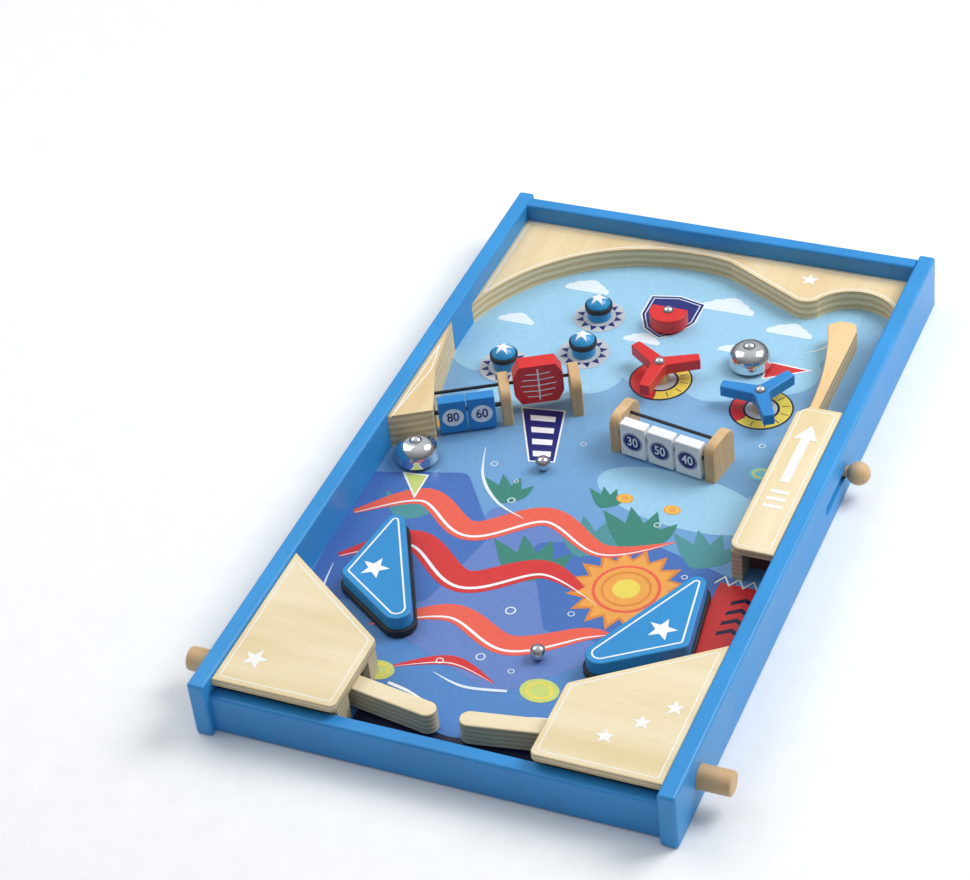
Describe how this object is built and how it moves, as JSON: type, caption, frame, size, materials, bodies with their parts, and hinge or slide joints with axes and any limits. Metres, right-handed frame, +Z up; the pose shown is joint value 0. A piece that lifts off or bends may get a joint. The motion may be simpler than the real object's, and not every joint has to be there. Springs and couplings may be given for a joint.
{
  "type": "tabletop pinball game",
  "caption": "Wooden tabletop pinball tray with push-button flippers, a sprung launcher lane, spinners, bells, swinging number tiles and loose steel balls.",
  "frame": {"origin": "centre of the case on the table plane, under the side rails", "axes": "+X to the player's right, +Y from the player to the back, +Z up"},
  "size_m": [0.34, 0.515, 0.0493],
  "materials": {
    "blue_paint": "satin blue paint on solid wood",
    "printed_board": "sky blue print on a thin board, satin",
    "plywood": "pale birch plywood, clear satin finish, layers on the edges",
    "plain_wood": "turned or cut beech, clear satin finish",
    "brown_wood": "darker plain wood",
    "sling_paint": "satin blue paint with white line print",
    "tile_blue": "satin blue paint",
    "red_paint": "satin red paint",
    "white_paint": "satin white paint",
    "black_rubber": "black rubber",
    "bright_chrome": "polished chrome",
    "steel": "zinc plated steel",
    "dark_steel": "dark steel wire"
  },
  "bodies": {
    "case": {"left_rail": "blue_paint", "right_rail": "blue_paint", "front_rail": "blue_paint", "back_rail": "blue_paint", "playfield": "printed_board", "case_screws": "steel", "leg_ears": "plain_wood", "leg_pins": "steel", "arch_deflector": "plywood", "left_deflector": "plywood", "lane_guide": "plywood", "lane_wall": "plywood", "launch_cover": "plywood", "launcher_stop": "brown_wood", "launcher_spring": "steel", "left_cover": "plywood", "right_cover": "plywood", "left_housing": "plywood", "right_housing": "plywood", "flipper_pins": "steel", "left_button_spring": "steel", "right_button_spring": "steel", "button_saddles": "plain_wood", "left_slingshot": "sling_paint", "right_slingshot": "sling_paint", "left_rubber_band": "black_rubber", "right_rubber_band": "black_rubber", "pegs": "sling_paint", "peg_rings": "black_rubber", "left_bell": "bright_chrome", "right_bell": "bright_chrome", "bell_posts": "plain_wood", "bell_screws": "bright_chrome", "spinner_posts": "plain_wood", "pivot_nails": "bright_chrome", "gate_posts": "plain_wood", "tile_axles": "dark_steel", "stop_rods": "dark_steel"},
    "left_button": {"left_button": "plain_wood", "left_pusher": "plain_wood"},
    "left_flipper": {"left_flipper": "plywood"},
    "right_button": {"right_button": "plain_wood", "right_pusher": "plain_wood"},
    "right_flipper": {"right_flipper": "plywood"},
    "launcher": {"launcher_slider": "plain_wood", "launcher_knob": "plain_wood"},
    "red_spinner": {"red_spinner": "red_paint"},
    "blue_spinner": {"blue_spinner": "tile_blue"},
    "swing_target": {"swing_target": "red_paint"},
    "white_tile_left": {"white_tile_left": "white_paint"},
    "white_tile_middle": {"white_tile_middle": "white_paint"},
    "white_tile_right": {"white_tile_right": "white_paint"},
    "blue_tile_left": {"blue_tile_left": "tile_blue"},
    "blue_tile_right": {"blue_tile_right": "tile_blue"},
    "red_paddle": {"red_paddle": "red_paint"},
    "left_leg": {"left_leg": "plain_wood"},
    "right_leg": {"right_leg": "plain_wood"},
    "ball_1": {"ball_1": "bright_chrome"},
    "ball_2": {"ball_2": "bright_chrome"}
  },
  "joints": [
    {"name": "left_button_push", "type": "slide", "parent": "case", "child": "left_button", "axis": [1, 0, 0], "range_m": [0, 0.00645], "stiffness_N_per_m": 150, "springref_m": -0.006, "deforming": ["left_button_spring"]},
    {"name": "left_flipper_swing", "type": "hinge", "parent": "case", "child": "left_flipper", "pos_m": [-0.068, -0.215, 0.0215], "axis": [0, 0, 1], "range_deg": [0, 42]},
    {"name": "right_button_push", "type": "slide", "parent": "case", "child": "right_button", "axis": [-1, 0, 0], "range_m": [0, 0.00645], "stiffness_N_per_m": 150, "springref_m": -0.006, "deforming": ["right_button_spring"]},
    {"name": "right_flipper_swing", "type": "hinge", "parent": "case", "child": "right_flipper", "pos_m": [0.068, -0.215, 0.0215], "axis": [0, 0, -1], "range_deg": [0, 42]},
    {"name": "launcher_pull", "type": "slide", "parent": "case", "child": "launcher", "axis": [0, -1, 0], "range_m": [0, 0.038], "stiffness_N_per_m": 60, "springref_m": -0.008, "deforming": ["launcher_spring"]},
    {"name": "red_spinner_turn", "type": "hinge", "parent": "case", "child": "red_spinner", "pos_m": [0.0051, 0.1156, 0.0242], "axis": [0, 0, 1], "continuous": true},
    {"name": "blue_spinner_turn", "type": "hinge", "parent": "case", "child": "blue_spinner", "pos_m": [0.0777, 0.1053, 0.0242], "axis": [0, 0, 1], "continuous": true},
    {"name": "target_turn", "type": "hinge", "parent": "case", "child": "swing_target", "pos_m": [-0.0101, 0.1741, 0.019], "axis": [0, 0, 1], "continuous": true},
    {"name": "white_tile_left_flip", "type": "hinge", "parent": "case", "child": "white_tile_left", "pos_m": [0.03643, 0.03546, 0.0288], "axis": [0.9848, -0.1736, 0], "range_deg": [-226, 90]},
    {"name": "white_tile_middle_flip", "type": "hinge", "parent": "case", "child": "white_tile_middle", "pos_m": [0.03643, 0.03546, 0.0288], "axis": [0.9848, -0.1736, 0], "range_deg": [-226, 90]},
    {"name": "white_tile_right_flip", "type": "hinge", "parent": "case", "child": "white_tile_right", "pos_m": [0.03643, 0.03546, 0.0288], "axis": [0.9848, -0.1736, 0], "range_deg": [-226, 90]},
    {"name": "blue_tile_left_flip", "type": "hinge", "parent": "case", "child": "blue_tile_left", "pos_m": [-0.09869, 0.0336, 0.0288], "axis": [0.8796, 0.4756, 0], "range_deg": [-226, 90]},
    {"name": "blue_tile_right_flip", "type": "hinge", "parent": "case", "child": "blue_tile_right", "pos_m": [-0.09869, 0.0336, 0.0288], "axis": [0.8796, 0.4756, 0], "range_deg": [-226, 90]},
    {"name": "paddle_turn", "type": "hinge", "parent": "case", "child": "red_paddle", "pos_m": [-0.06139, 0.06911, 0.0343], "axis": [0.8796, 0.4756, 0], "continuous": true},
    {"name": "left_leg_fold", "type": "hinge", "parent": "case", "child": "left_leg", "pos_m": [-0.095, 0.2382, 0.0037], "axis": [1, 0, 0], "range_deg": [0, 100]},
    {"name": "right_leg_fold", "type": "hinge", "parent": "case", "child": "right_leg", "pos_m": [0.095, 0.2382, 0.0037], "axis": [1, 0, 0], "range_deg": [0, 100]},
    {"name": "ball_1_roll", "type": "slide", "parent": "case", "child": "ball_1", "axis": [0, 1, 0], "range_m": [-0.03, 0.03]},
    {"name": "ball_2_roll", "type": "slide", "parent": "case", "child": "ball_2", "axis": [0, 1, 0], "range_m": [-0.015, 0.06]}
  ],
  "couplings": [
    {"joint": "left_flipper_swing", "follows": "left_button_push", "rad_per_m": 113.63},
    {"joint": "right_flipper_swing", "follows": "right_button_push", "rad_per_m": 113.63}
  ]
}
